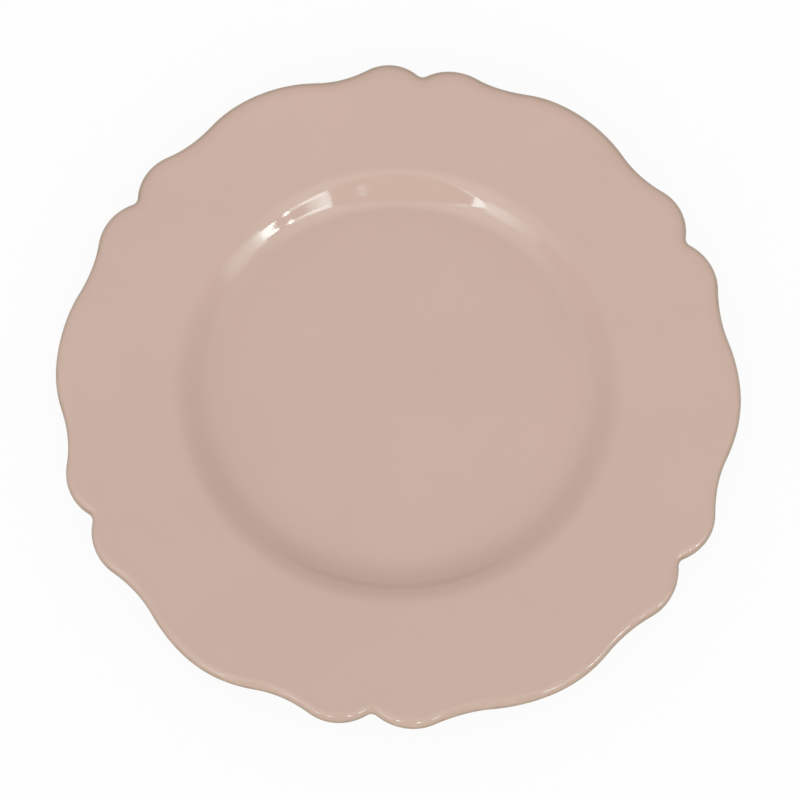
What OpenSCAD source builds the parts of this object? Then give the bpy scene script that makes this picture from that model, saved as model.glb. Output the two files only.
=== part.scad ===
// Scalloped dessert plate: a clay dish on a turned foot ring, glazed all over but for the foot
// Millimetres, +Z up. The plate stands on z = 0, centred on the Z axis, with a notch of its edge at +Y

/* [Scalloped edge] */
// Width across opposite broad lobes, over the glaze
plate_d = 210; // [195:1:230]
// Broad lobes round the edge
lobe_count = 6; // [5:1:7]
// Radius of the broad lobes
lobe_r = 46; // [40:1:54]
// Radius of the small scallops, one on each side of a notch
scallop_r = 16; // [13:0.5:18]
// Distance between the crests of the two scallops beside a notch
scallop_pitch = 24; // [21:0.5:27]
// How far the crests of the scallops stay inside the circle of the broad lobes
scallop_setback = 0.2; // [0:0.1:1.5]
// Radius of the dip between a scallop and a broad lobe
dip_r = 42; // [28:1:56]
// Radius at the bottom of a notch
notch_r = 2.5; // [1.5:0.5:4]
// Width of the rounded edge, seen from above
edge_w = 3.2; // [2.4:0.1:4]
// Turn of the rounded edge, from its middle to each face, in degrees
edge_turn = 75; // [70:1:80]

/* [Dish] */
// Thickness of the floor, the wall and the rim, over the glaze
wall_t = 4.8; // [4:0.1:5.6]
// Width of the flat floor of the well
floor_d = 115; // [102:1:124]
// Depth of the well below the inner edge of the rim
well_depth = 7; // [6:0.5:9]
// Slope of the straight middle of the wall, in degrees
wall_slope = 41; // [36:1:46]
// Radius of the two bends of the wall, on the finished face
bend_r = 6.3; // [5.8:0.1:8]
// Upward tilt of the rim, in degrees
rim_tilt = 6.5; // [3:0.5:9]

/* [Foot ring] */
// Width of the flat that the foot ring stands on
foot_flat = 3; // [2:0.25:4]
// How far the outside of that flat lies inside the edge of the well's floor
foot_setback = 0.5; // [0:0.25:8]
// Radius of the flat's two corners
foot_round = 0.8; // [0.4:0.1:1]
// Lean of the foot ring's sides, in degrees
foot_draft = 15; // [5:1:25]
// Height of the base above the table
foot_h = 3; // [2.5:0.25:5]

/* [Glaze] */
// Thickness of the glaze
glaze_t = 0.4; // [0.2:0.05:0.6]
// Height of the bare clay at the bottom of the foot ring
foot_bare = 1.2; // [1:0.1:2]

/* [Hidden] */

clay_colour = [0.83, 0.75, 0.64];
glaze_colour = [0.79, 0.69, 0.64];

// Steps along half a notch, a scallop, a dip and half a broad lobe
notch_steps = 2;
scallop_steps = 6;
dip_steps = 4;
lobe_steps = 4;
// Steps round the section of the edge, along each bend of the wall and along each corner of the foot
edge_steps = 8;
bend_steps = 8;
corner_steps = 4;
$fn = 192;

// Room that a cutting form has past what it cuts
spare = 1;
// Length by which the rounded edge runs on past the faces of the rim
edge_run = 4;

plate_r = plate_d / 2;
half_sector = 180 / lobe_count;

// Centres of the four arcs of half a sector, with the notch on the X axis
scallop_reach = plate_r - scallop_setback;
scallop_angle = asin(scallop_pitch / 2 / scallop_reach);
lobe_c = (plate_r - lobe_r) * heading(half_sector);
scallop_c = (scallop_reach - scallop_r) * heading(scallop_angle);
dip_c = outer_meeting(scallop_c, scallop_r + dip_r, lobe_c, lobe_r + dip_r);
notch_c = [scallop_c.x + sqrt((scallop_r + notch_r) ^ 2 - scallop_c.y ^ 2), 0];
notch_depth = plate_r - (notch_c.x - notch_r);

// Heights and bends of the dish
floor_z = foot_h + wall_t;
floor_mid_z = floor_z - wall_t / 2;
bends_rise = 2 * bend_r * (1 - cos(wall_slope));
wall_w = 2 * bend_r * sin(wall_slope) + (well_depth - bends_rise) / tan(wall_slope);
low_bend_c = [floor_d / 2, floor_z + bend_r];
high_bend_c = [floor_d / 2 + wall_w, floor_z + well_depth - bend_r];
section_r = plate_r + spare;

// Half the height of the rounded edge, the turn at which it runs on straight, and its middle on the rim
edge_half_h = wall_t / 2 / sin(edge_turn);
edge_end = 88;
edge_mid_r = plate_r - edge_w - notch_depth / 2;
edge_mid_z = (rim_point(0, edge_mid_r).y + rim_point(wall_t, edge_mid_r).y) / 2;

foot_mid_r = floor_d / 2 - foot_setback - foot_flat / 2;

function heading(a) = [cos(a), sin(a)];
function bearing(v) = atan2(v.y, v.x);
function shorter_turn(from, to) = (to - from + 540) % 360 - 180;

// Meeting point of two circles that lies further from the plate's centre
function outer_meeting(c1, r1, c2, r2) =
    let (span = norm(c2 - c1), way = (c2 - c1) / span)
    let (along = (span ^ 2 + r1 ^ 2 - r2 ^ 2) / 2 / span)
    c1 + along * way + sqrt(r1 ^ 2 - along ^ 2) * [way.y, -way.x];

// Points of an arc from one bearing to another, without its last point
function arc(c, r, from, to, steps) =
    let (turn = shorter_turn(from, to))
    [for (i = [0 : steps - 1]) c + r * heading(from + turn * i / steps)];

// Half a sector of the outline, drawn in by an inset, from a notch up to a broad lobe's crest
function half_outline(inset) = concat(
    arc(notch_c, notch_r + inset, 180, bearing(scallop_c - notch_c), notch_steps),
    arc(scallop_c, scallop_r - inset,
        bearing(notch_c - scallop_c), bearing(dip_c - scallop_c), scallop_steps),
    arc(dip_c, dip_r + inset, bearing(scallop_c - dip_c), bearing(lobe_c - dip_c), dip_steps),
    arc(lobe_c, lobe_r - inset, bearing(dip_c - lobe_c), half_sector, lobe_steps)
);

function turned(p, a) = [p.x * cos(a) - p.y * sin(a), p.x * sin(a) + p.y * cos(a)];

// Whole outline: each sector is a half and its mirror image, which runs from the crest to the next notch
function outline(inset) =
    let (half = half_outline(inset), last = len(half) - 1)
    let (crest = (plate_r - inset) * heading(half_sector))
    let (mirrored = [for (i = [last : -1 : 1]) turned([half[i].x, -half[i].y], 2 * half_sector)])
    let (sector = concat(half, [crest], mirrored))
    [for (k = [0 : lobe_count - 1]) for (p = sector) turned(p, 90 + 2 * half_sector * k)];

// Wall at a depth below the finished face: a bend up from the floor, a slope and a bend out to the rim
function wall_curve(depth) = concat(
    [for (i = [0 : bend_steps])
        low_bend_c + (bend_r + depth) * heading(-90 + wall_slope * i / bend_steps)],
    [for (i = [0 : bend_steps])
        let (turn = wall_slope + (rim_tilt - wall_slope) * i / bend_steps)
        high_bend_c + (bend_r - depth) * heading(90 + turn)]
);

// Point of the rim at a depth below its finished face and a distance from the plate's axis
function rim_point(depth, r) =
    let (start = high_bend_c + (bend_r - depth) * heading(90 + rim_tilt))
    [r, start.y + (r - start.x) * tan(rim_tilt)];

function reversed(list) = [for (i = [len(list) - 1 : -1 : 0]) list[i]];

// Half the thickness of the foot ring at a height, with a coat of some thickness on its sides
function foot_half(z, coat) =
    foot_flat / 2 + foot_round * cos(foot_draft)
    + (z - foot_round * (1 - sin(foot_draft))) * tan(foot_draft) + coat / cos(foot_draft);

// Section of the edge from the bottom up: inset from the outline, height, and 1 where it tilts with the rim
function edge_section(coat) =
    let (w = edge_w - coat, h = edge_half_h - coat, run = edge_run * heading(edge_end))
    let (run_inset = edge_w - w * cos(edge_end) + run.y)
    let (run_rise = h * sin(edge_end) + run.x)
    concat(
        [[run_inset, -spare, 0]],
        [[run_inset, edge_mid_z - run_rise, 1]],
        [for (i = [0 : edge_steps])
            let (a = edge_end * (2 * i / edge_steps - 1))
            [edge_w - w * cos(a), edge_mid_z + h * sin(a), 1]],
        [[run_inset, edge_mid_z + run_rise, 1]]
    );

// Form with the plate's scalloped and rounded edge, open to the table below, drawn in by a coat
module edge_form(coat) {
    section = edge_section(coat);
    rings = [for (s = section) outline(s[0])];
    count = len(rings[0]);
    top = len(section) - 1;
    tilt = tan(rim_tilt);
    sides = [
        for (k = [0 : top])
            for (p = rings[k])
                [p.x, p.y, section[k][1] + section[k][2] * (norm(p) - edge_mid_r) * tilt]
    ];
    ends = [[0, 0, section[0][1]], [0, 0, section[top][1]]];
    bottom_end = len(sides);
    top_end = bottom_end + 1;
    walls = [
        for (k = [0 : top - 1])
            for (i = [0 : count - 1])
                let (j = (i + 1) % count, low = k * count, high = low + count)
                each [[low + i, high + i, high + j], [low + i, high + j, low + j]]
    ];
    caps = [
        for (i = [0 : count - 1])
            let (j = (i + 1) % count)
            each [[bottom_end, i, j], [top_end, top * count + j, top * count + i]]
    ];
    polyhedron(points = concat(sides, ends), faces = concat(walls, caps), convexity = 6);
}

// Section of the dish from the axis out past the edge, between two depths below the finished face
module dish_section(face, back) {
    polygon(concat(
        [[0, floor_z - face]],
        wall_curve(face),
        [rim_point(face, section_r)],
        [rim_point(back, section_r)],
        reversed(wall_curve(back)),
        [[0, floor_z - back]]
    ));
}

// Section of the clay foot ring, with its flat and two round corners, up to the middle of the floor
module foot_section() {
    corner = [
        for (i = [0 : corner_steps])
            [foot_flat / 2, foot_round] + foot_round * heading(-90 + (90 - foot_draft) * i / corner_steps)
    ];
    outside = concat(corner, [[foot_half(floor_mid_z, 0), floor_mid_z]]);
    translate([foot_mid_r, 0])
    polygon(concat(outside, [for (p = reversed(outside)) [-p.x, p.y]]));
}

// Section of the foot ring under its coat, which stops above the table
module coated_foot_section() {
    low = foot_half(foot_bare, glaze_t);
    high = foot_half(floor_mid_z, glaze_t);
    translate([foot_mid_r, 0])
    polygon([[-low, foot_bare], [low, foot_bare], [high, floor_mid_z], [-high, floor_mid_z]]);
}

// Clay dish and foot ring, turned and not yet trimmed
module clay_form() {
    rotate_extrude() dish_section(glaze_t, wall_t - glaze_t);
    rotate_extrude() foot_section();
}

// Outside of the glaze on the dish and the foot ring, turned and not yet trimmed
module glazed_form() {
    rotate_extrude() dish_section(0, wall_t);
    rotate_extrude() coated_foot_section();
}

// Turned form trimmed to the scalloped edge
module scalloped(coat) {
    intersection() {
        union() children();
        edge_form(coat);
    }
}

// Space under the floor and inside the middle of the foot ring
module base_space() {
    cylinder(r = foot_mid_r, h = floor_mid_z);
}

// Dish and foot ring of fired clay
module clay_body() {
    color(clay_colour)
    scalloped(glaze_t) clay_form();
}

// Coat over the face, round the edge and over the back down to the foot ring
module glaze_coat() {
    color(glaze_colour)
    difference() {
        scalloped(0) glazed_form();
        scalloped(glaze_t) clay_form();
        base_space();
    }
}

// Coat on the base inside the foot ring
module base_glaze() {
    color(glaze_colour)
    intersection() {
        difference() {
            glazed_form();
            clay_form();
        }
        base_space();
    }
}

clay_body();
glaze_coat();
base_glaze();
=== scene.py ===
"""Scalloped dessert plate: its meshes, finishes, light and camera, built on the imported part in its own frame.

Lengths are in metres. The plate stands on z = 0, centred on the Z axis, with a notch of its edge at +Y.
"""

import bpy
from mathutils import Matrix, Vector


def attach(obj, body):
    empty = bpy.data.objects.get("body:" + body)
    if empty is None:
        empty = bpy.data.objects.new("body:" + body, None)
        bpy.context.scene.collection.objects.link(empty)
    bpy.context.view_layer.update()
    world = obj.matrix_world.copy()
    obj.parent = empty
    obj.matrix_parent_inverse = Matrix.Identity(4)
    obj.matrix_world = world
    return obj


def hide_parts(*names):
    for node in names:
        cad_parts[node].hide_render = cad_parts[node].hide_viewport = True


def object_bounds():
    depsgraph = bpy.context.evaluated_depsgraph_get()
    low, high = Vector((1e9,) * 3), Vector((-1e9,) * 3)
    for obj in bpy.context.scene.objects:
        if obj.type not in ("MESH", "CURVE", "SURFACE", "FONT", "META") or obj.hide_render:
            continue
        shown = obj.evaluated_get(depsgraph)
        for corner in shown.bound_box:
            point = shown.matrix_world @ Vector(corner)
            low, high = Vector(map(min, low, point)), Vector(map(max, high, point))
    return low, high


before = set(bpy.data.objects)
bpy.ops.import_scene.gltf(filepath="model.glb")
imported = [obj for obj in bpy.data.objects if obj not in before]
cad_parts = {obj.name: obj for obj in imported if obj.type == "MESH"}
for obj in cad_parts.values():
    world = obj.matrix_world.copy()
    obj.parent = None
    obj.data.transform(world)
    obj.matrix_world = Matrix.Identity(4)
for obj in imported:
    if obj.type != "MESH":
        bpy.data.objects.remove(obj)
CAD_BOX = [list(corner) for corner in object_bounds()]

import math

import bpy
import numpy as np
from bpy.props import FloatProperty, FloatVectorProperty, IntProperty, PointerProperty
from mathutils import Matrix, Vector

bl_info = {
    "name": "Scalloped Dessert Plate",
    "version": (1, 0, 0),
    "blender": (4, 5, 0),
    "location": "View3D > Sidebar > Plate",
    "description": "Builds a glazed scalloped plate with its finishes, light and camera",
    "category": "Add Mesh",
}

# Steps along half a notch, a scallop, a dip and half a broad lobe
EDGE_STEPS = (6, 14, 10, 10)

# Rings across what shows of the glaze, and across the clay and the side of the glaze that lies on it
GLAZE_RINGS = {"floor": 12, "wall": 40, "rim": 14, "edge": 28, "back": 10, "foot": 8, "end": 6, "base": 14}
CLAY_RINGS = {"floor": 5, "wall": 6, "rim": 6, "edge": 12, "back": 6, "foot": 4, "corner": 6, "sole": 4}

# Fine steps to each ring of the wall's face, over which its slope is added up
WALL_FINE = 40

# Passes that find where the foot ring meets the back
CROSSING_PASSES = 8

# Size of the soft corner between the foot ring and the plate's back, over the glaze and on the clay
GLAZE_BLEND, CLAY_BLEND = 0.0011, 0.0008

# Waves of the hand-trimmed edge: how many round the plate, share of the edge drift, and phase in degrees
EDGE_WAVES = ((1, 0.88, -53), (3, 0.79, -166), (6, 0.35, 75), (10, 0.43, -93), (12, 0.56, 105),
              (13, 0.36, 158), (15, 0.40, -33), (19, 0.37, -41))

# How far that edge lies inside the even outline on the whole, as a share of the edge drift
EDGE_TRIM = 0.72

# Waves of the rim's sag: how many round the plate, their share, and their phase in radians
SAG_WAVES = ((2, 1.0, 0.6), (3, 0.6, -1.1))

# Waves of the wiped glaze line outside and inside the foot ring: how many round it, and phase in radians
OUTER_WAVER = ((9, 0.4), (23, 0.0), (41, 0.0))
INNER_WAVER = ((11, 0.0), (19, 1.0), (37, 0.0))

# Dark brown line of painted shade along the edge: its reach towards the face, what that gains at the far
# side, and its reach towards the back, in degrees round the edge, and how sharply it ends
LINE_REACH, LINE_FAR_GAIN, LINE_BACK_REACH, LINE_POWER = 48.0, 12.0, 16.0, 4

# Left side of the plate, where that painted line of shade is weaker, as a direction in degrees, and by how much
LEFT_WAY, LINE_LEFT_LOSS = -160.0, 0.1

# Fainter painted shade round the edge: its share everywhere, what the near and far sides add, what the front
# adds, and the front's direction in degrees
EDGE_SHADE_ALL, EDGE_SHADE_ENDS, EDGE_SHADE_FRONT, FRONT_WAY = 0.02, 0.08, 0.21, -70.0

# How fast the fainter painted shade and the painted shade of the far side fade round the edge
EDGE_SHADE_FADE, FAR_SHADE_FADE = 0.8, 0.55

# Share of pooled glaze in the corners of the foot ring, and of thin glaze at the end of the coat
CORNER_POOL, END_THIN = 0.6, 0.5

# Scale and detail of each noise in the glaze, and scale, detail and roughness of those in the clay
GLAZE_NOISE = {"cloud": (28.0, 3.0), "pool_and_shade": (60.0, 2.0), "thin_and_shade": (320.0, 3.0), "gloss": (90.0, 3.0),
               "peel": (160.0, 1.0)}
CLAY_NOISE = {"grain": (700.0, 4.0, 0.6), "speck": (1800.0, 2.0, 0.5), "pit": (1500.0, 3.0, 0.5)}

# Range in which most of a noise lies, and the ranges of it that make the clay's grain and its dark specks
MOST, GRAIN_RANGE, SPECK_RANGE = (0.3, 0.7), (0.35, 0.65), (0.66, 0.74)

# Strength of a noise that counts whole, in pooled glaze and painted shade, in thin glaze and painted shade, and
# in the clay's specks
WHOLE, POOL_AND_SHADE_RANGE, THIN_AND_SHADE_RANGE, SPECK_STRENGTH = (0.0, 1.0), (0.6, 1.0), (0.7, 1.0), (0.0, 0.8)

# Spread of the glaze's tone, as a share, and of its roughness, and how strongly it bends light
GLAZE_MOTTLE, GLOSS_SPREAD, GLAZE_IOR = 0.015, 0.012, 1.5

# Tone of the clay's grain, as a share, and the range of the clay's roughness
GRAIN_TONE, CLAY_ROUGHNESS = 0.93, (0.72, 0.9)

# Strength of the glaze's slight ripple and of the clay's pits, and their depth in metres
GLAZE_BUMP, CLAY_BUMP = (0.02, 0.0002), (0.5, 0.00008)

# Sockets of a Mix node that mixes colours
MIX_FACTOR, MIX_FIRST, MIX_SECOND, MIX_RESULT = 0, 6, 7, 2

WHITE = (1.0, 1.0, 1.0, 1.0)

# Half the width of the floor, and its roughness
FLOOR_HALF, FLOOR_ROUGHNESS = 4.0, 0.9

# Steps between two stations of a card
CARD_STEPS = 8

# Width of the camera's sensor in millimetres, and the nearest and furthest that it sees
SENSOR_WIDTH, CLIP_NEAR, CLIP_FAR = 36.0, 0.01, 50.0

# Least distance from the axis that a shift is divided by
NEAR_AXIS = 1e-6

# Soft front light: azimuth from -Y towards +X, elevation, width and height in degrees, and brightness
FRONT_PANEL = (-3.0, 34.0, 80.0, 24.0, 1.62)

# Bright cards that show only in the gloss: stations of azimuth, low and high elevation in degrees, and the
# brightness at the low and the high side; 1 is as bright as the backdrop behind them
CARDS = {
    "small_lamp": ((45.8, 28.4, 32.8, 18, 18), (48.2, 28.0, 31.9, 18, 18)),
    "window_top": ((31.3, 33.3, 43.5, 12, 3), (38.0, 31.0, 39.0, 12, 3), (45.0, 30.2, 33.0, 7, 4)),
    "window_side": ((30.0, 24, 28.0, 8, 8), (31.3, 24, 39.5, 7.6, 7), (32.3, 24, 34.0, 7.2, 8)),
    "window_pane": ((32.3, 24, 34.0, 6.7, 8), (37.0, 24, 31.6, 4.1, 5), (41.0, 24, 30.6, 1, 1)),
    "slanted_lamp": ((51.9, 26.8, 29.2, 17, 17), (54.0, 25.2, 29.1, 17, 17), (54.6, 20, 29.0, 16, 16),
                     (57.4, 20, 28.1, 15, 13), (60.4, 20, 27.3, 4.2, 3.5)),
    "right_tail": ((58.2, 21, 40, 10.5, 1), (60.4, 21, 40, 6.6, 1), (62.8, 21, 40, 4.3, 1),
                   (66.0, 21, 40, 3.6, 1), (72.0, 21, 40, 3.2, 1), (79.0, 21, 40, 1, 1)),
    "right_tail_foot": ((58.2, 13, 21, 1, 10.5), (60.4, 13, 21, 1, 6.6), (62.8, 13, 21, 1, 4.3),
                        (66.0, 13, 21, 1, 3.6), (72.0, 13, 21, 1, 3.2), (79.0, 13, 21, 1, 1)),
    "left_window": ((-23.6, 24, 32.4, 10.5, 10.5), (-28.6, 24, 28.2, 10.5, 10.5), (-30.0, 24, 28.0, 6, 5)),
    "left_tail": ((-28.6, 22, 42, 6.9, 1), (-36.0, 22, 42, 5.4, 1), (-44.0, 22, 42, 3.2, 1),
                  (-54.0, 22, 42, 1, 1)),
    "left_strip": ((-22.8, 31.0, 34.0, 5.5, 5.5), (-18.8, 36.0, 39.4, 4.3, 4.3),
                   (-15.4, 42.0, 46.0, 3.4, 3.4), (-11.0, 50.0, 55.0, 2.2, 2.2)),
    "hood": ((66, 30, 78, 1.3, 1.3), (46, 33, 78, 2.0, 1.6), (31, 40, 78, 2.2, 1.6), (21, 51, 78, 1.6, 1.5),
             (12, 54, 78, 1.5, 1.5), (3, 55, 78, 1.5, 1.5), (-5.6, 53, 78, 1.5, 1.5),
             (-12, 46.5, 78, 1.7, 1.5), (-18.8, 39.5, 78, 2.2, 1.6), (-23, 34, 78, 2.4, 1.6),
             (-31, 30, 78, 2.2, 1.6), (-46, 28, 78, 1.7, 1.4), (-66, 28, 78, 1.2, 1.2)),
    "hood_top": ((66, 78, 100, 1.3, 1), (31, 78, 100, 1.6, 1), (20, 78, 100, 1.5, 1), (-20, 78, 100, 1.5, 1),
                 (-31, 78, 100, 1.6, 1), (-66, 78, 100, 1.2, 1)),
    "pale_square": ((16.6, 24, 33.0, 2.8, 2.8), (20.0, 24, 33.5, 2.8, 2.8)),
}

# Small soft lamps close by, which show only in the gloss of the front edge: place of the middle, half width
# and half height in metres, and brightness in the middle, from where it falls to that of the backdrop
NEAR_CARDS = {
    "left_catch": (-0.046, -0.304, 0.178, 0.019, 0.036, 24.0),
    "right_catch": (0.064, -0.304, 0.178, 0.019, 0.036, 24.0),
}

# Points round each of these soft lamps
NEAR_CARD_POINTS = 32


def length(name, description, default):
    """A length in metres that a user may change."""
    return FloatProperty(name=name, description=description, default=default, min=0.0, precision=5,
                         subtype="DISTANCE", unit="LENGTH")


def angle(name, description, degrees):
    """An angle that a user may change."""
    return FloatProperty(name=name, description=description, default=math.radians(degrees),
                         subtype="ANGLE", unit="ROTATION")


def share(name, description, default):
    """A share from 0 to 1 that a user may change."""
    return FloatProperty(name=name, description=description, default=default, min=0.0, max=1.0,
                         subtype="FACTOR")


def colour(name, description, default):
    """A colour that a user may change."""
    return FloatVectorProperty(name=name, description=description, default=default, size=3,
                               min=0.0, max=1.0, subtype="COLOR")


class PlateSizes(bpy.types.PropertyGroup):
    """Sizes of the plate, as in the part's source, with a rounder edge and handmade unevenness added."""

    plate_width: length("Width", "Width across opposite broad lobes, over the glaze",
                        CAD_BOX[1][0] - CAD_BOX[0][0])
    lobe_count: IntProperty(name="Lobes", description="Broad lobes round the edge", default=6, min=5, max=7)
    lobe_radius: length("Lobe radius", "Radius of the broad lobes", 0.046)
    scallop_radius: length("Scallop radius", "Radius of the small scallops beside a notch", 0.016)
    scallop_pitch: length("Scallop pitch", "Distance between the crests of the two scallops", 0.024)
    scallop_setback: length("Scallop setback", "How far the scallops stay inside the lobes' circle", 0.0002)
    dip_radius: length("Dip radius", "Radius of the dip between a scallop and a lobe", 0.042)
    notch_radius: length("Notch radius", "Radius at the bottom of a notch", 0.0025)
    edge_width: length("Edge width", "Width of the rounded edge, seen from above", 0.0034)
    edge_line: share("Edge line",
                     "Height of the edge's outermost line over the back, as a share of the thickness", 0.27)
    wall_thickness: length("Thickness", "Thickness of the floor, wall and rim, over the glaze", 0.0048)
    floor_width: length("Floor width", "Width of the flat floor of the well", 0.115)
    well_depth: length("Well depth", "Depth of the well below the inner edge of the rim", 0.007)
    wall_slope: angle("Wall slope", "Slope of the straight middle of the wall", 41.0)
    bend_radius: length("Bend radius", "Radius of the two bends of the wall", 0.0063)
    wall_start: length("Wall start", "How far inside the floor's edge the wall's face starts to rise", 0.001)
    rim_tilt: angle("Rim tilt", "Upward tilt of the rim", 6.5)
    foot_flat: length("Foot flat", "Width of the flat that the foot ring stands on", 0.003)
    foot_setback: length("Foot setback", "How far that flat lies inside the floor's edge", 0.0005)
    foot_round: length("Foot corner", "Radius of the flat's two corners", 0.0008)
    foot_draft: angle("Foot draft", "Lean of the foot ring's sides", 15.0)
    foot_height: length("Foot height", "Height of the base above the table", 0.003)
    glaze_thickness: length("Glaze thickness", "Thickness of the glaze", 0.0004)
    bare_height: length("Bare foot", "Height of the bare clay at the bottom of the foot ring", 0.0012)
    edge_drift: length("Edge drift", "Scale of the waves of the hand-trimmed edge", 0.0003)
    rim_sag: length("Rim sag", "How far the rim sagged in firing at its lowest", 0.0003)
    glaze_line: length("Glaze line", "How far the wiped glaze line at the foot wavers", 0.00012)


class PlateFinish(bpy.types.PropertyGroup):
    """Colours and gloss of the glaze and the clay."""

    glaze: colour("Glaze", "Dusty pink of the glaze", (0.565, 0.405, 0.335))
    # Also used as painted shade that darkens the far side of the edge
    pooled_and_shaded: colour("Pooled glaze", "Tone where the glaze lies thicker, in the bends", (0.52, 0.36, 0.295))
    # Used for thin glaze at the end of the coat on the foot ring, and as the painted line of shade along the
    # edge
    thin_and_shaded: colour("Thin glaze", "Tone where the glaze breaks thin over the edge", (0.20, 0.135, 0.05))
    gloss: share("Glaze roughness", "Roughness of the glaze", 0.07)
    clay: colour("Clay", "Buff of the bare fired clay", (0.66, 0.52, 0.37))
    clay_dark: colour("Clay grain", "Darker grain in the bare clay", (0.47, 0.35, 0.23))


class PlateStudio(bpy.types.PropertyGroup):
    """Light, floor and camera round the plate."""

    floor: colour("Floor", "Colour of the pale floor", (0.86, 0.86, 0.86))
    floor_white: share("Floor white", "Share of plain white in what the camera sees of the floor", 0.9)
    dome: FloatProperty(name="Dome", description="Strength of the soft light all round", default=0.88,
                        min=0.0)
    cards: colour("Cards", "Tint of the bright cards", (0.82, 1.0, 1.0))
    camera_at: FloatVectorProperty(name="Camera", description="Place of the camera", size=3,
                                   default=(0.00537, -0.10221, 0.39405), subtype="TRANSLATION", unit="LENGTH")
    heading: angle("Heading", "Turn of the camera about the plate's axis", 2.616)
    elevation: angle("Elevation", "How far the camera looks down from the horizon", 75.945)
    roll: angle("Roll", "Turn of the camera about its own line of sight", 1.748)
    lamp_distance: length("Lamp distance", "Distance of the lamps from the plate's middle", 5.0)
    lens: FloatProperty(name="Lens", description="Focal length of the camera, in millimetres", default=57.65,
                        min=1.0)


def unit(a):
    """Unit vector in the plane at an angle."""
    return np.array((math.cos(a), math.sin(a)))


def bearing(v):
    """Angle of a vector in the plane."""
    return math.atan2(v[1], v[0])


def smooth_step(t):
    """Eased rise from 0 to 1."""
    t = np.clip(t, 0.0, 1.0)
    return t * t * (3.0 - 2.0 * t)


def arc(centre, radius, start, end, steps):
    """Points of an arc by its shorter turn, without the last one."""
    turn = (end - start + 3.0 * math.pi) % (2.0 * math.pi) - math.pi
    a = start + turn * np.arange(steps) / steps
    return centre + radius * np.column_stack((np.cos(a), np.sin(a)))


def corner_blend(before, corner, after, steps):
    """Points of a smooth turn from one point to another, drawn towards the corner between them."""
    t = np.linspace(0.0, 1.0, steps + 1)[:, None]
    return (1 - t) ** 2 * before + 2 * t * (1 - t) * corner + t ** 2 * after


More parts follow.
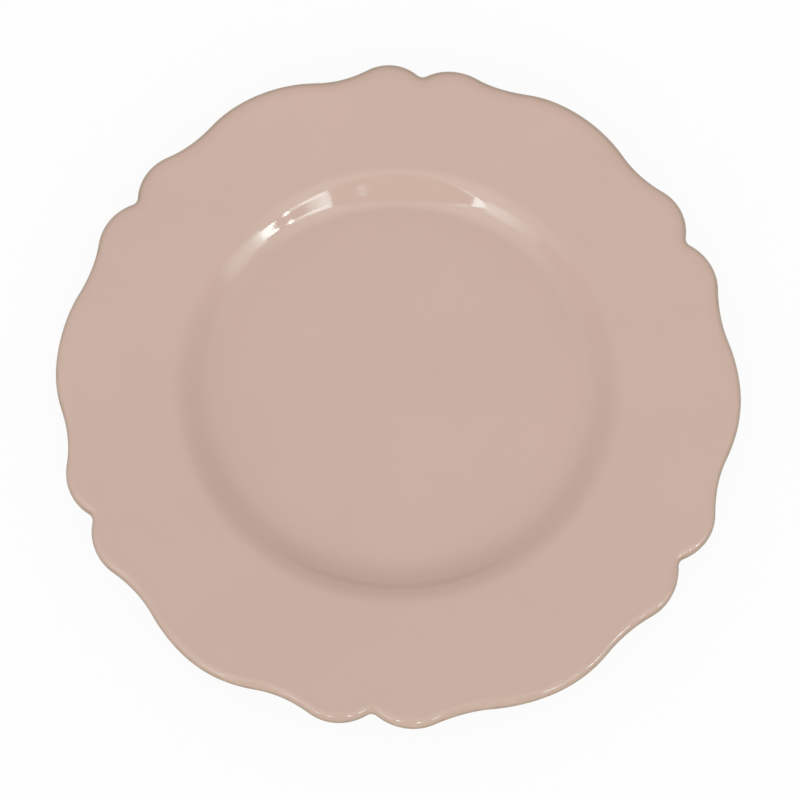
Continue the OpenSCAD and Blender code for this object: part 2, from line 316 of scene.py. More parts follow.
class PlateShape:
    """Outline, section and unevenness that follow from the plate's sizes."""

    def __init__(self, s):
        self.s = s
        self.plate_r = s.plate_width / 2
        self.half_sector = math.pi / s.lobe_count
        reach = self.plate_r - s.scallop_setback
        self.lobe_c = (self.plate_r - s.lobe_radius) * unit(self.half_sector)
        self.scallop_c = (reach - s.scallop_radius) * unit(math.asin(s.scallop_pitch / 2 / reach))
        self.dip_c = self.outer_meeting(self.scallop_c, s.scallop_radius + s.dip_radius,
                                        self.lobe_c, s.lobe_radius + s.dip_radius)
        gap = math.sqrt((s.scallop_radius + s.notch_radius) ** 2 - self.scallop_c[1] ** 2)
        self.notch_c = np.array((self.scallop_c[0] + gap, 0.0))

        self.floor_r = s.floor_width / 2
        self.floor_z = s.foot_height + s.wall_thickness
        self.bend_r = s.bend_radius
        bends_rise = 2 * self.bend_r * (1 - math.cos(s.wall_slope))
        straight_w = (s.well_depth - bends_rise) / math.tan(s.wall_slope)
        self.wall_w = 2 * self.bend_r * math.sin(s.wall_slope) + straight_w
        self.low_bend_c = np.array((self.floor_r, self.floor_z + self.bend_r))
        self.high_bend_c = np.array((self.floor_r + self.wall_w, self.floor_z + s.well_depth - self.bend_r))
        self.foot_mid_r = self.floor_r - s.foot_setback - s.foot_flat / 2

        self.lip_start = self.outline(s.edge_width)
        self.turns = np.arctan2(self.lip_start[:, 1], self.lip_start[:, 0])
        self.count = len(self.turns)

    @staticmethod
    def outer_meeting(c1, r1, c2, r2):
        """Meeting point of two circles that lies further from the plate's centre."""
        span = np.linalg.norm(c2 - c1)
        way = (c2 - c1) / span
        along = (span ** 2 + r1 ** 2 - r2 ** 2) / 2 / span
        return c1 + along * way + math.sqrt(r1 ** 2 - along ** 2) * np.array((way[1], -way[0]))

    def outline(self, inset):
        """Scalloped outline drawn in by an inset, from the notch at +Y round."""
        s = self.s
        half = np.vstack((
            arc(self.notch_c, s.notch_radius + inset, math.pi, bearing(self.scallop_c - self.notch_c),
                EDGE_STEPS[0]),
            arc(self.scallop_c, s.scallop_radius - inset, bearing(self.notch_c - self.scallop_c),
                bearing(self.dip_c - self.scallop_c), EDGE_STEPS[1]),
            arc(self.dip_c, s.dip_radius + inset, bearing(self.scallop_c - self.dip_c),
                bearing(self.lobe_c - self.dip_c), EDGE_STEPS[2]),
            arc(self.lobe_c, s.lobe_radius - inset, bearing(self.dip_c - self.lobe_c), self.half_sector,
                EDGE_STEPS[3]),
        ))
        crest = (self.plate_r - inset) * unit(self.half_sector)
        mirrored = (half[:0:-1] * (1, -1)) @ self.turn(2 * self.half_sector)
        sector = np.vstack((half, crest, mirrored))
        starts = math.pi / 2 + 2 * self.half_sector * np.arange(s.lobe_count)
        return np.vstack([sector @ self.turn(a) for a in starts])

    @staticmethod
    def turn(a):
        """Matrix that turns rows of points by an angle."""
        return np.array(((math.cos(a), math.sin(a)), (-math.sin(a), math.cos(a))))

    def wall_curve(self, depth, steps):
        """Section of the wall at a depth below the finished face, from the floor to the rim."""
        t = np.linspace(0, 1, steps + 1)
        low = -math.pi / 2 + self.s.wall_slope * t
        high = math.pi / 2 + self.s.wall_slope + (self.s.rim_tilt - self.s.wall_slope) * t
        low = self.low_bend_c + (self.bend_r + depth) * np.column_stack((np.cos(low), np.sin(low)))
        high = self.high_bend_c + (self.bend_r - depth) * np.column_stack((np.cos(high), np.sin(high)))
        middle = low[-1] + (high[0] - low[-1]) * t[1:-1:2, None]
        return np.vstack((low, middle, high))

    def wall_face(self, steps):
        """Section of the wall's visible face, which eases from the floor up to the rim without a straight."""
        start, end = self.floor_r - self.s.wall_start, self.floor_r + self.wall_w
        middle = self.floor_r + self.wall_w / 2
        r = np.linspace(start, end, WALL_FINE * steps + 1)
        low = r < middle
        bell = (1 - ((r - middle) / np.where(low, start - middle, end - middle)) ** 2) ** 2
        tilt = np.where(low, 0.0, math.tan(self.s.rim_tilt))
        plain, bulge = (np.concatenate(([0.0], np.cumsum((climb[1:] + climb[:-1]) / 2 * np.diff(r))))
                        for climb in (tilt * (1 - bell), bell))
        rise = self.rim_z(0.0, end) - self.floor_z
        z = self.floor_z + plain + bulge * (rise - plain[-1]) / bulge[-1]
        return np.column_stack((r, z))[::WALL_FINE]

    def rim_z(self, depth, r):
        """Height of the rim at a depth below its finished face and a distance from the axis."""
        start = self.high_bend_c + (self.bend_r - depth) * unit(math.pi / 2 + self.s.rim_tilt)
        return start[1] + (r - start[0]) * math.tan(self.s.rim_tilt)

    def back_z(self, depth, r):
        """Height of the low bend's back at a depth below the finished face and a distance from the axis."""
        out = max(r - self.floor_r, 0.0)
        return self.low_bend_c[1] - math.sqrt((self.bend_r + depth) ** 2 - out ** 2)

    def foot_half(self, z, coat):
        """Half the thickness of the foot ring at a height, with a coat on its sides."""
        s = self.s
        lean = math.tan(s.foot_draft)
        return (s.foot_flat / 2 + s.foot_round * math.cos(s.foot_draft)
                + (z - s.foot_round * (1 - math.sin(s.foot_draft))) * lean + coat / math.cos(s.foot_draft))

    def circle(self, r, z):
        """Ring round the axis."""
        x, y = r * np.cos(self.turns), r * np.sin(self.turns)
        return np.column_stack((x, y, np.broadcast_to(z, self.count)))

    def circles(self, section):
        """Rings for the points of a section."""
        return [self.circle(r, z) for r, z in section]

    def floor_rings(self, z, edge_r, steps):
        """Rings of a flat disc, from near its middle out to short of its edge."""
        return [self.circle(edge_r * t, z) for t in np.linspace(0, 1, steps + 1)[1:-1]]

    def rim_rings(self, depth, inner_r, steps):
        """Rings at a depth below the rim's face, from the end of the wall to short of the rounded edge."""
        inner = self.circle(inner_r, 0.0)[:, :2]
        rings = []
        for t in np.linspace(0, 1, steps + 1)[1:-1]:
            p = inner + (self.lip_start - inner) * t
            rings.append(np.column_stack((p, self.rim_z(depth, np.linalg.norm(p, axis=1)))))
        return rings

    def lip_rings(self, coat, steps):
        """Rings round the rounded edge, from the face to the back, under a coat."""
        s = self.s
        rings = []
        for a in np.linspace(math.pi / 2, -math.pi / 2, steps + 1):
            p = self.outline(s.edge_width - (s.edge_width - coat) * math.cos(a))
            r = np.linalg.norm(p, axis=1)
            face, back = self.rim_z(coat, r), self.rim_z(s.wall_thickness - coat, r)
            line = back + (face - back) * s.edge_line
            reach = face - line if a > 0 else line - back
            rings.append(np.column_stack((p, line + reach * math.sin(a))))
        return rings

    def foot_corner(self, coat, depth):
        """Point of the section where the foot ring's outside meets the back of the low bend."""
        z = self.s.foot_height
        for _ in range(CROSSING_PASSES):
            r = self.foot_mid_r + self.foot_half(z, coat)
            z = self.back_z(depth, r)
        return np.array((r, z))

    def outer_foot(self, coat, depth, blend, low_z, steps):
        """Section from the back of the low bend round a soft corner and down the foot ring's outside."""
        corner = self.foot_corner(coat, depth)
        before = np.array((corner[0] + blend, self.back_z(depth, corner[0] + blend)))
        z = corner[1] - blend * math.cos(self.s.foot_draft)
        after = np.array((self.foot_mid_r + self.foot_half(z, coat), z))
        low = np.array((self.foot_mid_r + self.foot_half(low_z, coat), low_z))
        return np.vstack((corner_blend(before, corner, after, steps), low))

    def inner_foot(self, coat, depth, blend, low_z, steps):
        """Section from the base inside the foot ring round a soft corner and down the ring's inside."""
        base_z = self.floor_z - depth
        corner = np.array((self.foot_mid_r - self.foot_half(base_z, coat), base_z))
        before = corner - (blend, 0.0)
        z = corner[1] - blend * math.cos(self.s.foot_draft)
        after = np.array((self.foot_mid_r - self.foot_half(z, coat), z))
        low = np.array((self.foot_mid_r - self.foot_half(low_z, coat), low_z))
        return np.vstack((corner_blend(before, corner, after, steps), low))

    def glaze_end(self, side, steps):
        """Section of the rounded end of the glaze on the foot ring, from its outside down to the clay."""
        s = self.s
        points = []
        for a in np.linspace(0, math.pi / 2, steps + 1):
            z = s.bare_height + s.glaze_thickness * (1 - math.sin(a))
            points.append((self.foot_mid_r + side * self.foot_half(z, s.glaze_thickness * math.cos(a)), z))
        return np.array(points)

    def back_rings(self, depth, last_r, steps):
        """Rings of the back of the rim and wall, from the rounded edge in to a distance from the axis."""
        curve = self.wall_curve(depth, steps)[::-1]
        rim = self.rim_rings(depth, curve[0][0], steps)[::-1]
        return rim + self.circles([p for p in curve if p[0] > last_r])

    def uneven(self, ring):
        """A ring moved by the drift of the trimmed edge and the sag of the fired rim."""
        r = np.hypot(ring[:, 0], ring[:, 1])
        a = np.arctan2(ring[:, 1], ring[:, 0])
        outer = smooth_step((r - self.high_bend_c[0]) / (self.plate_r - self.high_bend_c[0]))
        drift = sum(part * np.cos(count * a - math.radians(phase)) for count, part, phase in EDGE_WAVES)
        sag = sum(part * np.cos(count * a - phase) for count, part, phase in SAG_WAVES)
        sag = sag / sum(part for _, part, _ in SAG_WAVES) / 2 - 0.5
        moved = ring.copy()
        shift = self.s.edge_drift * outer * (drift - EDGE_TRIM)
        moved[:, :2] *= (1 + shift / np.maximum(r, NEAR_AXIS))[:, None]
        moved[:, 2] += self.s.rim_sag * outer * sag
        return moved

    def waver(self, waves):
        """Rise and fall of the wiped glaze line round the foot ring."""
        rise = sum(np.sin(count * self.turns + phase) for count, phase in waves) / len(waves)
        return self.s.glaze_line * rise

    def edge_tones(self, count):
        """Shares of painted shade on rings round the edge, from the face to the back: a darker far side, and a
        dark brown line with fainter shade.
        """
        turn = np.linspace(90, -90, count)[:, None]
        far = np.sin(self.turns)
        ways = np.radians((FRONT_WAY, LEFT_WAY))
        front, left = (np.clip(np.cos(self.turns - way), 0, 1) ** 2 for way in ways)
        # Painted shade: the dark brown line along the edge, reaching further at the far side and weaker at the
        # left
        reach = np.where(turn > 0, LINE_REACH + LINE_FAR_GAIN * far, LINE_BACK_REACH)
        line = (1 - LINE_LEFT_LOSS * left) * np.exp(-np.abs(turn / reach) ** LINE_POWER)
        # Fainter painted shade round the edge, more at the near and far sides and towards the front
        edge_shade = ((EDGE_SHADE_ALL + EDGE_SHADE_ENDS * far ** 2) * np.cos(np.radians(EDGE_SHADE_FADE * turn))
                + EDGE_SHADE_FRONT * front * np.cos(np.radians(turn)))
        # Painted shade: the glaze tone darkens towards the far side of the edge
        pooled_and_shaded = np.clip(far, 0, 1) * np.cos(np.radians(FAR_SHADE_FADE * turn))
        return pooled_and_shaded, np.maximum(line, edge_shade)


def skin(name, rings, first, last, weights):
    """Closed smooth mesh through rings of equal count, with a point at each end and its weight maps."""
    count, total = len(rings[0]), len(rings)
    points = np.vstack([np.vstack(rings), [first, last]])
    low = (np.arange(total - 1)[:, None] * count + np.arange(count)).ravel()
    side = (np.arange(total - 1)[:, None] * count + (np.arange(count) + 1) % count).ravel()
    quads = np.column_stack((low, low + count, side + count, side))
    i, j = np.arange(count), (np.arange(count) + 1) % count
    end = (total - 1) * count
    caps = np.vstack((np.column_stack((np.full(count, total * count), i, j)),
                      np.column_stack((np.full(count, total * count + 1), end + j, end + i))))
    mesh = bpy.data.meshes.new(name)
    mesh.from_pydata(points.tolist(), [], quads.tolist() + caps.tolist())
    mesh.update()
    mesh.validate()
    mesh.shade_smooth()
    for weight, values in weights.items():
        ends = (values[0].mean(), values[-1].mean())
        layer = mesh.attributes.new(weight, "FLOAT", "POINT")
        layer.data.foreach_set("value", np.concatenate((values.ravel(), ends)).astype(np.float32))
    piece = bpy.data.objects.new(name, mesh)
    bpy.context.scene.collection.objects.link(piece)
    return piece


def seat(piece, node, material):
    """Puts a piece on the plate's body in place of a CAD node, with its finish."""
    piece.data.materials.append(material)
    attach(piece, "root")
    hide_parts(node)


def add_node(tree, kind, **inputs):
    """New node with values on its inputs; names with spaces are written with underscores."""
    node = tree.nodes.new(kind)
    for name, value in inputs.items():
        node.inputs[name.replace("_", " ")].default_value = value
    return node


def noise(tree, source, scale, detail, rough=0.5):
    """Noise over the object's own space."""
    node = add_node(tree, "ShaderNodeTexNoise", Scale=scale, Detail=detail, Roughness=rough)
    tree.links.new(source, node.inputs["Vector"])
    return node.outputs["Fac"]


def ranged(tree, source, given, wanted):
    """A value spread from one range to another."""
    node = add_node(tree, "ShaderNodeMapRange", From_Min=given[0], From_Max=given[1],
                    To_Min=wanted[0], To_Max=wanted[1])
    tree.links.new(source, node.inputs["Value"])
    return node.outputs["Result"]


def combined(tree, operation, first, second):
    """Two values combined; the second is a socket or a plain number."""
    node = tree.nodes.new("ShaderNodeMath")
    node.operation = operation
    tree.links.new(first, node.inputs[0])
    if isinstance(second, bpy.types.NodeSocket):
        tree.links.new(second, node.inputs[1])
    else:
        node.inputs[1].default_value = second
    return node.outputs[0]


def mixed(tree, factor, first, second):
    """Two colours mixed by a factor; each is a socket or a plain colour."""
    node = tree.nodes.new("ShaderNodeMix")
    node.data_type = "RGBA"
    tree.links.new(factor, node.inputs[MIX_FACTOR])
    for socket, value in ((node.inputs[MIX_FIRST], first), (node.inputs[MIX_SECOND], second)):
        if isinstance(value, bpy.types.NodeSocket):
            tree.links.new(value, socket)
        else:
            socket.default_value = (*value, 1.0)
    return node.outputs[MIX_RESULT]


def mixed_shaders(tree, factor, first, second):
    """Two shaders mixed by a factor."""
    node = tree.nodes.new("ShaderNodeMixShader")
    for socket, source in zip(node.inputs, (factor, first, second)):
        tree.links.new(source, socket)
    return node.outputs[0]


def bumped(tree, height, strength, depth):
    """Direction of a surface that is roughened by a height."""
    node = add_node(tree, "ShaderNodeBump", Strength=strength, Distance=depth)
    tree.links.new(height, node.inputs["Height"])
    return node.outputs["Normal"]


def weight_map(tree, name):
    """Value of a weight map on the mesh."""
    node = tree.nodes.new("ShaderNodeAttribute")
    node.attribute_name = name
    return node.outputs["Fac"]


def new_material(name):
    """Node material with a Principled shader, and its tree and shader."""
    material = bpy.data.materials.new(name)
    material.use_nodes = True
    tree = material.node_tree
    shader = tree.nodes["Principled BSDF"]
    return material, tree, shader


def own_space(tree):
    """Place on the object, in its own space."""
    return tree.nodes.new("ShaderNodeTexCoord").outputs["Object"]


def glaze_material(finish):
    """Dusty pink glossy glaze, a little mottled, deeper where it pools, thin and brown at the end of its coat,
    with painted shade over the edge.
    """
    found = bpy.data.materials.get("dusty_pink_glaze")
    if found:
        return found
    material, tree, shader = new_material("dusty_pink_glaze")
    place = own_space(tree)
    glaze = np.array(finish.glaze)
    deep, pale = glaze * (1 - GLAZE_MOTTLE), np.minimum(glaze * (1 + GLAZE_MOTTLE), 1.0)
    body = mixed(tree, ranged(tree, noise(tree, place, *GLAZE_NOISE["cloud"]), MOST, WHOLE), deep, pale)
    # The pooled tone is also the painted shade on the far side of the edge
    pool_and_shade = ranged(tree, noise(tree, place, *GLAZE_NOISE["pool_and_shade"]), MOST, POOL_AND_SHADE_RANGE)
    body = mixed(tree, combined(tree, "MULTIPLY", weight_map(tree, "pooled_and_shaded"), pool_and_shade), body, finish.pooled_and_shaded)
    # The thin brown tone is also the painted line of shade along the edge
    thin_and_shade_mix = ranged(tree, noise(tree, place, *GLAZE_NOISE["thin_and_shade"]), MOST, THIN_AND_SHADE_RANGE)
    body = mixed(tree, combined(tree, "MULTIPLY", weight_map(tree, "thin_and_shaded"), thin_and_shade_mix), body, finish.thin_and_shaded)
    tree.links.new(body, shader.inputs["Base Color"])
    spread = (finish.gloss - GLOSS_SPREAD, finish.gloss + GLOSS_SPREAD)
    rough = ranged(tree, noise(tree, place, *GLAZE_NOISE["gloss"]), MOST, spread)
    tree.links.new(rough, shader.inputs["Roughness"])
    peel = bumped(tree, noise(tree, place, *GLAZE_NOISE["peel"]), *GLAZE_BUMP)
    tree.links.new(peel, shader.inputs["Normal"])
    shader.inputs["IOR"].default_value = GLAZE_IOR
    return material


def clay_material(finish):
    """Bare buff clay: matt, fine grained, with darker specks."""
    material, tree, shader = new_material("bare_fired_clay")
    place = own_space(tree)
    grain = ranged(tree, noise(tree, place, *CLAY_NOISE["grain"]), GRAIN_RANGE, WHOLE)
    body = mixed(tree, grain, np.array(finish.clay) * GRAIN_TONE, finish.clay)
    specks = ranged(tree, noise(tree, place, *CLAY_NOISE["speck"]), SPECK_RANGE, SPECK_STRENGTH)
    body = mixed(tree, specks, body, finish.clay_dark)
    tree.links.new(body, shader.inputs["Base Color"])
    tree.links.new(ranged(tree, grain, WHOLE, CLAY_ROUGHNESS), shader.inputs["Roughness"])
    pits = bumped(tree, noise(tree, place, *CLAY_NOISE["pit"]), *CLAY_BUMP)
    tree.links.new(pits, shader.inputs["Normal"])
    return material


def seen_directly(tree):
    """1 for what the camera sees, straight, mirrored or through glass, and 0 for the light on things."""
    path = tree.nodes.new("ShaderNodeLightPath")
    total = path.outputs["Is Camera Ray"]
    for kind in ("Is Glossy Ray", "Is Transmission Ray"):
        total = combined(tree, "MAXIMUM", total, path.outputs[kind])
    return total


class PLATE_OT_clay_body(bpy.types.Operator):
    """Build the fired clay dish with its scalloped edge and foot ring"""

    bl_idname = "plate.clay_body"
    bl_label = "Clay Body"

    def execute(self, context):
        s = context.scene.plate_sizes
        shape = PlateShape(s)
        coat, depth = s.glaze_thickness, s.wall_thickness - s.glaze_thickness
        corner_z = s.foot_round * (1 - math.sin(s.foot_draft))
        steps = CLAY_RINGS
        outside = shape.outer_foot(0.0, depth, CLAY_BLEND, corner_z, steps["foot"])
        inside = shape.inner_foot(0.0, depth, CLAY_BLEND, corner_z, steps["foot"])
        turn = np.linspace(-s.foot_draft, -math.pi / 2, steps["corner"] + 1)[1:]
        outer_round = np.column_stack((s.foot_flat / 2 + s.foot_round * np.cos(turn),
                                       s.foot_round * (1 + np.sin(turn))))
        inner_round = outer_round[::-1] * (-1, 1)
        flat = np.linspace(s.foot_flat / 2, -s.foot_flat / 2, steps["sole"] + 1)[1:-1]
        flat = np.column_stack((flat, np.zeros(len(flat))))
        sole = np.vstack((outer_round, flat, inner_round)) + (shape.foot_mid_r, 0)
        rings = shape.floor_rings(shape.floor_z - coat, shape.floor_r, steps["floor"])
        wall = shape.wall_curve(coat, steps["wall"])
        rings += shape.circles(wall) + shape.rim_rings(coat, wall[-1][0], steps["rim"])
        rings += shape.lip_rings(coat, steps["edge"]) + shape.back_rings(depth, outside[0][0], steps["back"])
        rings += shape.circles(outside) + shape.circles(sole) + shape.circles(inside[::-1])
        rings += shape.floor_rings(shape.floor_z - depth, inside[0][0], steps["floor"])[::-1]
        rings = [shape.uneven(ring) for ring in rings]
        ends = ((0, 0, shape.floor_z - coat), (0, 0, shape.floor_z - depth))
        piece = skin("fired_clay_dish", rings, *ends, {})
        seat(piece, "clay_body", clay_material(context.scene.plate_finish))
        return {"FINISHED"}


class PLATE_OT_glaze_coat(bpy.types.Operator):
    """Build the glaze over the face, round the edge and over the back down to the foot ring"""

    bl_idname = "plate.glaze_coat"
    bl_label = "Glaze Coat"

    def execute(self, context):
        s = context.scene.plate_sizes
        shape = PlateShape(s)
        coat, depth = s.glaze_thickness, s.wall_thickness
        groups = []

        def add(rings, pooled_and_shaded=((0.0,),), thin_and_shaded=((0.0,),)):
            """Add rings with their share of pooled glaze and painted shade, and of thin glaze and painted
            shade, by ring and round the ring.
            """
            spread = (len(rings), shape.count)
            groups.append((rings, np.broadcast_to(pooled_and_shaded, spread), np.broadcast_to(thin_and_shaded, spread)))

        steps = GLAZE_RINGS
        wall = shape.wall_face(steps["wall"])
        add(shape.floor_rings(shape.floor_z, wall[0][0], steps["floor"]))
        add(shape.circles(wall))
        add(shape.rim_rings(0.0, wall[-1][0], steps["rim"]))
        lip = shape.lip_rings(0.0, steps["edge"])
        # The edge gets painted shade: a darker far side, and a dark brown line with fainter shade
        add(lip, *shape.edge_tones(len(lip)))
        outside = shape.outer_foot(coat, depth, GLAZE_BLEND, s.bare_height + coat, steps["foot"])
        add(shape.back_rings(depth, outside[0][0], steps["back"]))
        corner = np.sin(np.linspace(0, math.pi, len(outside) - 1))
        add(shape.circles(outside[:-1]), pooled_and_shaded=CORNER_POOL * corner[:, None])
        end = shape.glaze_end(1, steps["end"])
        waver = shape.waver(OUTER_WAVER)
        add([shape.circle(r, z + waver) for r, z in end], thin_and_shaded=np.linspace(0, END_THIN, len(end))[:, None])
        steps = CLAY_RINGS
        hidden = shape.outer_foot(0.0, depth - coat, CLAY_BLEND, s.bare_height + coat, steps["foot"])
        add(shape.circles(hidden[::-1]))
        add(shape.back_rings(depth - coat, hidden[0][0], steps["back"])[::-1])
        wall = shape.wall_curve(coat, steps["wall"])[::-1]
        add(shape.lip_rings(coat, steps["edge"])[::-1])
        add(shape.rim_rings(coat, wall[0][0], steps["rim"])[::-1] + shape.circles(wall))
        add(shape.floor_rings(shape.floor_z - coat, shape.floor_r, steps["floor"])[::-1])
        rings = [shape.uneven(ring) for part, _, _ in groups for ring in part]
        weights = {"pooled_and_shaded": np.concatenate([pooled_and_shaded for _, pooled_and_shaded, _ in groups]),
                   "thin_and_shaded": np.concatenate([thin_and_shaded for _, _, thin_and_shaded in groups])}
        piece = skin("glaze_skin", rings, (0, 0, shape.floor_z), (0, 0, shape.floor_z - coat), weights)
        seat(piece, "glaze_coat", glaze_material(context.scene.plate_finish))
        return {"FINISHED"}


class PLATE_OT_base_glaze(bpy.types.Operator):
    """Build the glaze on the base inside the foot ring"""

    bl_idname = "plate.base_glaze"
    bl_label = "Base Glaze"

    def execute(self, context):
        s = context.scene.plate_sizes
        shape = PlateShape(s)
        coat, depth = s.glaze_thickness, s.wall_thickness
        base_z = shape.floor_z - depth
        inside = shape.inner_foot(coat, depth, GLAZE_BLEND, s.bare_height + coat, GLAZE_RINGS["foot"])
        end = shape.glaze_end(-1, GLAZE_RINGS["end"])
        waver = shape.waver(INNER_WAVER)
        hidden = shape.inner_foot(0.0, depth - coat, CLAY_BLEND, s.bare_height + coat, CLAY_RINGS["foot"])
        base = shape.floor_rings(base_z, inside[0][0], GLAZE_RINGS["base"])
        inner = shape.floor_rings(base_z + coat, hidden[0][0], CLAY_RINGS["floor"])
        rings = base + shape.circles(inside[:-1]) + [shape.circle(r, z + waver) for r, z in end]
        rings += shape.circles(hidden[::-1]) + inner[::-1]
        pooled_and_shaded = np.zeros((len(rings), shape.count))
        corner = np.sin(np.linspace(0, math.pi, len(inside) - 1))
        pooled_and_shaded[len(base):len(base) + len(corner)] = CORNER_POOL * corner[:, None]
        weights = {"pooled_and_shaded": pooled_and_shaded[::-1], "thin_and_shaded": np.zeros(pooled_and_shaded.shape)}
        piece = skin("base_glaze_skin", rings[::-1], (0, 0, base_z + coat), (0, 0, base_z), weights)
        seat(piece, "base_glaze", glaze_material(context.scene.plate_finish))
        return {"FINISHED"}


class PLATE_OT_stage(bpy.types.Operator):
    """Set the pale floor, the soft light and the camera"""

    bl_idname = "plate.stage"
    bl_label = "Stage"

    def execute(self, context):
        studio = context.scene.plate_studio
        self.lay_floor(context.scene, studio)
        self.light_dome(context.scene, studio)
        self.hang_panel(context.scene, studio)
        self.hang_cards(context.scene, studio)
        self.set_camera(context.scene, studio)
        context.scene.view_settings.view_transform = "Standard"
        return {"FINISHED"}

    @staticmethod
    def lay_floor(scene, studio):
        """Wide pale floor that shows nearly white and keeps the plate's shadow."""
        half = FLOOR_HALF
        corners = [(-half, -half, 0), (half, -half, 0), (half, half, 0), (-half, half, 0)]
        mesh = bpy.data.meshes.new("pale_floor")
        mesh.from_pydata(corners, [], [(0, 1, 2, 3)])
        floor = bpy.data.objects.new("pale_floor", mesh)
        scene.collection.objects.link(floor)
        material, tree, shader = new_material("pale_floor")
        shader.inputs["Base Color"].default_value = (*studio.floor, 1.0)
        shader.inputs["Roughness"].default_value = FLOOR_ROUGHNESS
        glow = add_node(tree, "ShaderNodeEmission", Color=WHITE, Strength=1.0)
        part = combined(tree, "MULTIPLY", seen_directly(tree), studio.floor_white)
        surface = mixed_shaders(tree, part, shader.outputs[0], glow.outputs[0])
        tree.links.new(surface, tree.nodes["Material Output"].inputs["Surface"])
        mesh.materials.append(material)

    @staticmethod
    def light_dome(scene, studio):
        """Soft even light from all round, which shows as a white backdrop."""
        world = bpy.data.worlds.new("soft_dome")
        world.use_nodes = True
        tree = world.node_tree
        shade = tree.nodes["Background"]
        shade.inputs["Strength"].default_value = studio.dome
        shade.inputs["Color"].default_value = WHITE
        backdrop = add_node(tree, "ShaderNodeBackground", Color=WHITE, Strength=1.0)
        surface = mixed_shaders(tree, seen_directly(tree), shade.outputs[0], backdrop.outputs[0])
        tree.links.new(surface, tree.nodes["World Output"].inputs["Surface"])
        scene.world = world

    @staticmethod
    def way_to(azimuth, elevation):
        """Unit vector to a place on the dome, from its azimuth and elevation in degrees."""
        a, e = math.radians(azimuth), math.radians(elevation)
        return Vector((math.sin(a) * math.cos(e), -math.cos(a) * math.cos(e), math.sin(e)))

    def hang_panel(self, scene, studio):
        """Soft front light, which doesn't show in the gloss."""
        azimuth, elevation, width, height, bright = FRONT_PANEL
        way = self.way_to(azimuth, elevation)
        light = bpy.data.lights.new("front_panel", "AREA")
        light.shape = "RECTANGLE"
        light.size = 2 * studio.lamp_distance * math.tan(math.radians(width / 2))
        light.size_y = 2 * studio.lamp_distance * math.tan(math.radians(height / 2))
        light.energy = bright * math.pi * light.size * light.size_y
        lamp = bpy.data.objects.new("front_panel", light)
        lamp.location = way * studio.lamp_distance
        lamp.rotation_mode = "QUATERNION"
        lamp.rotation_quaternion = (-way).to_track_quat("-Z", "Y")
        lamp.visible_glossy = False
        scene.collection.objects.link(lamp)

    def hang_cards(self, scene, studio):
        """Bright cards that only the gloss of the glaze mirrors."""
        material, tree, _ = new_material("bright_card")
        glow = add_node(tree, "ShaderNodeEmission", Color=(*studio.cards, 1.0))
        tree.links.new(weight_map(tree, "glow"), glow.inputs["Strength"])
        tree.links.new(glow.outputs[0], tree.nodes["Material Output"].inputs["Surface"])
        for name, stations in CARDS.items():
            points, levels = [], []
            for start, end in zip(np.array(stations), np.array(stations[1:])):
                for t in np.linspace(0, 1, CARD_STEPS + 1):
                    azimuth, low, high, *glows = start + (end - start) * t
                    points += [self.way_to(azimuth, tall) * studio.lamp_distance for tall in (low, high)]
                    levels += glows
            faces = [(i, i + 1, i + 3, i + 2) for i in range(0, len(points) - 2, 2)]
            self.hang_card(scene, name, points, faces, levels, material)
        count = NEAR_CARD_POINTS
        faces = [(0, i + 1, (i + 1) % count + 1) for i in range(count)]
        for name, (x, y, z, half_width, half_height, bright) in NEAR_CARDS.items():
            points = [(x, y, z)]
            for a in math.tau * np.arange(count) / count:
                points.append((x + half_width * math.cos(a), y, z + half_height * math.sin(a)))
            self.hang_card(scene, name, points, faces, [bright] + [1.0] * count, material)

    @staticmethod
    def hang_card(scene, name, points, faces, levels, material):
        """One card with the brightness at each of its points."""
        mesh = bpy.data.meshes.new(name)
        mesh.from_pydata(points, [], faces)
        mesh.attributes.new("glow", "FLOAT", "POINT").data.foreach_set("value", levels)
        mesh.materials.append(material)
        card = bpy.data.objects.new(name, mesh)
        card.visible_camera = card.visible_diffuse = False
        card.visible_shadow = card.visible_transmission = False
        scene.collection.objects.link(card)

    @staticmethod
    def set_camera(scene, studio):
        """Camera at the photograph's angle."""
        data = bpy.data.cameras.new("camera")
        data.lens, data.sensor_width = studio.lens, SENSOR_WIDTH
        data.clip_start, data.clip_end = CLIP_NEAR, CLIP_FAR
        camera = bpy.data.objects.new("camera", data)
        look = (Matrix.Rotation(studio.heading, 4, "Z")
                @ Matrix.Rotation(math.pi / 2 - studio.elevation, 4, "X")
                @ Matrix.Rotation(studio.roll, 4, "Z"))
        camera.matrix_world = Matrix.Translation(studio.camera_at) @ look
        scene.collection.objects.link(camera)
        scene.camera = camera


class VIEW3D_PT_plate(bpy.types.Panel):
    """Sizes, finishes and pieces of the plate"""

    bl_label = "Scalloped Plate"
    bl_idname = "VIEW3D_PT_plate"
    bl_space_type = "VIEW_3D"
    bl_region_type = "UI"
    bl_category = "Plate"

    def draw(self, context):
        scene = context.scene
        for title, group in (("Sizes", scene.plate_sizes), ("Finish", scene.plate_finish),
                             ("Studio", scene.plate_studio)):
            box = self.layout.box()
            box.label(text=title)
            for name in group.__annotations__:
                box.prop(group, name)
        for operator in OPERATORS:
            self.layout.operator(operator.bl_idname)


GROUPS = {"plate_sizes": PlateSizes, "plate_finish": PlateFinish, "plate_studio": PlateStudio}
OPERATORS = (PLATE_OT_clay_body, PLATE_OT_glaze_coat, PLATE_OT_base_glaze, PLATE_OT_stage)
CLASSES = (*GROUPS.values(), *OPERATORS, VIEW3D_PT_plate)


def register():
    """Add the classes and the scene's settings."""
    for each in CLASSES:
        bpy.utils.register_class(each)
    for name, group in GROUPS.items():
        setattr(bpy.types.Scene, name, PointerProperty(type=group))


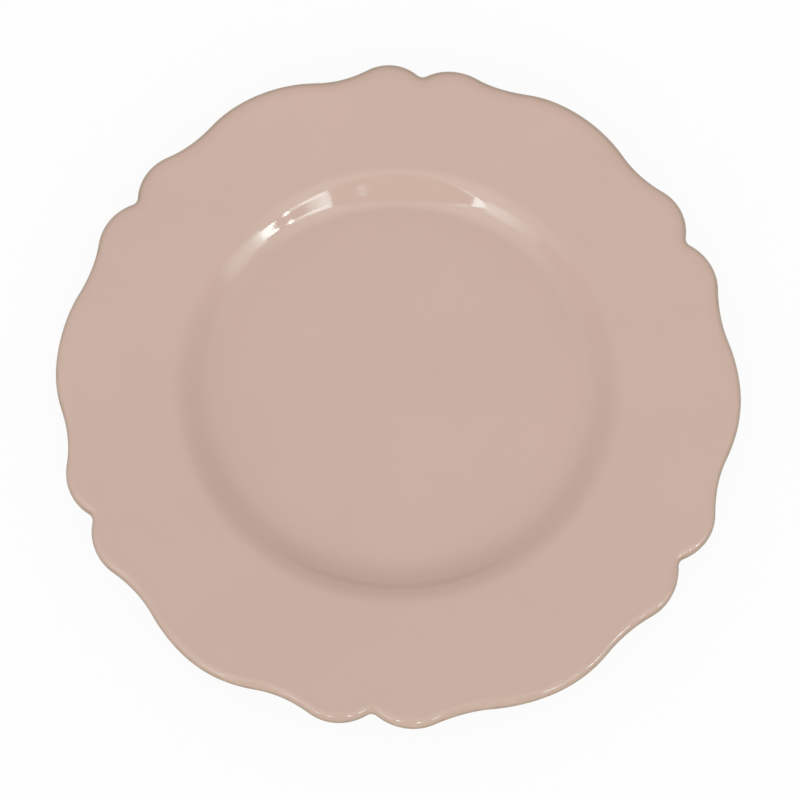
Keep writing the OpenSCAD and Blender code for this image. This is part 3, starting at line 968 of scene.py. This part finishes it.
def unregister():
    """Take the settings and the classes away again."""
    for name in GROUPS:
        delattr(bpy.types.Scene, name)
    for each in reversed(CLASSES):
        bpy.utils.unregister_class(each)


def main():
    """Build the pieces and the stage."""
    register()
    bpy.ops.plate.clay_body()
    bpy.ops.plate.glaze_coat()
    bpy.ops.plate.base_glaze()
    bpy.ops.plate.stage()


if __name__ == "__main__":
    main()
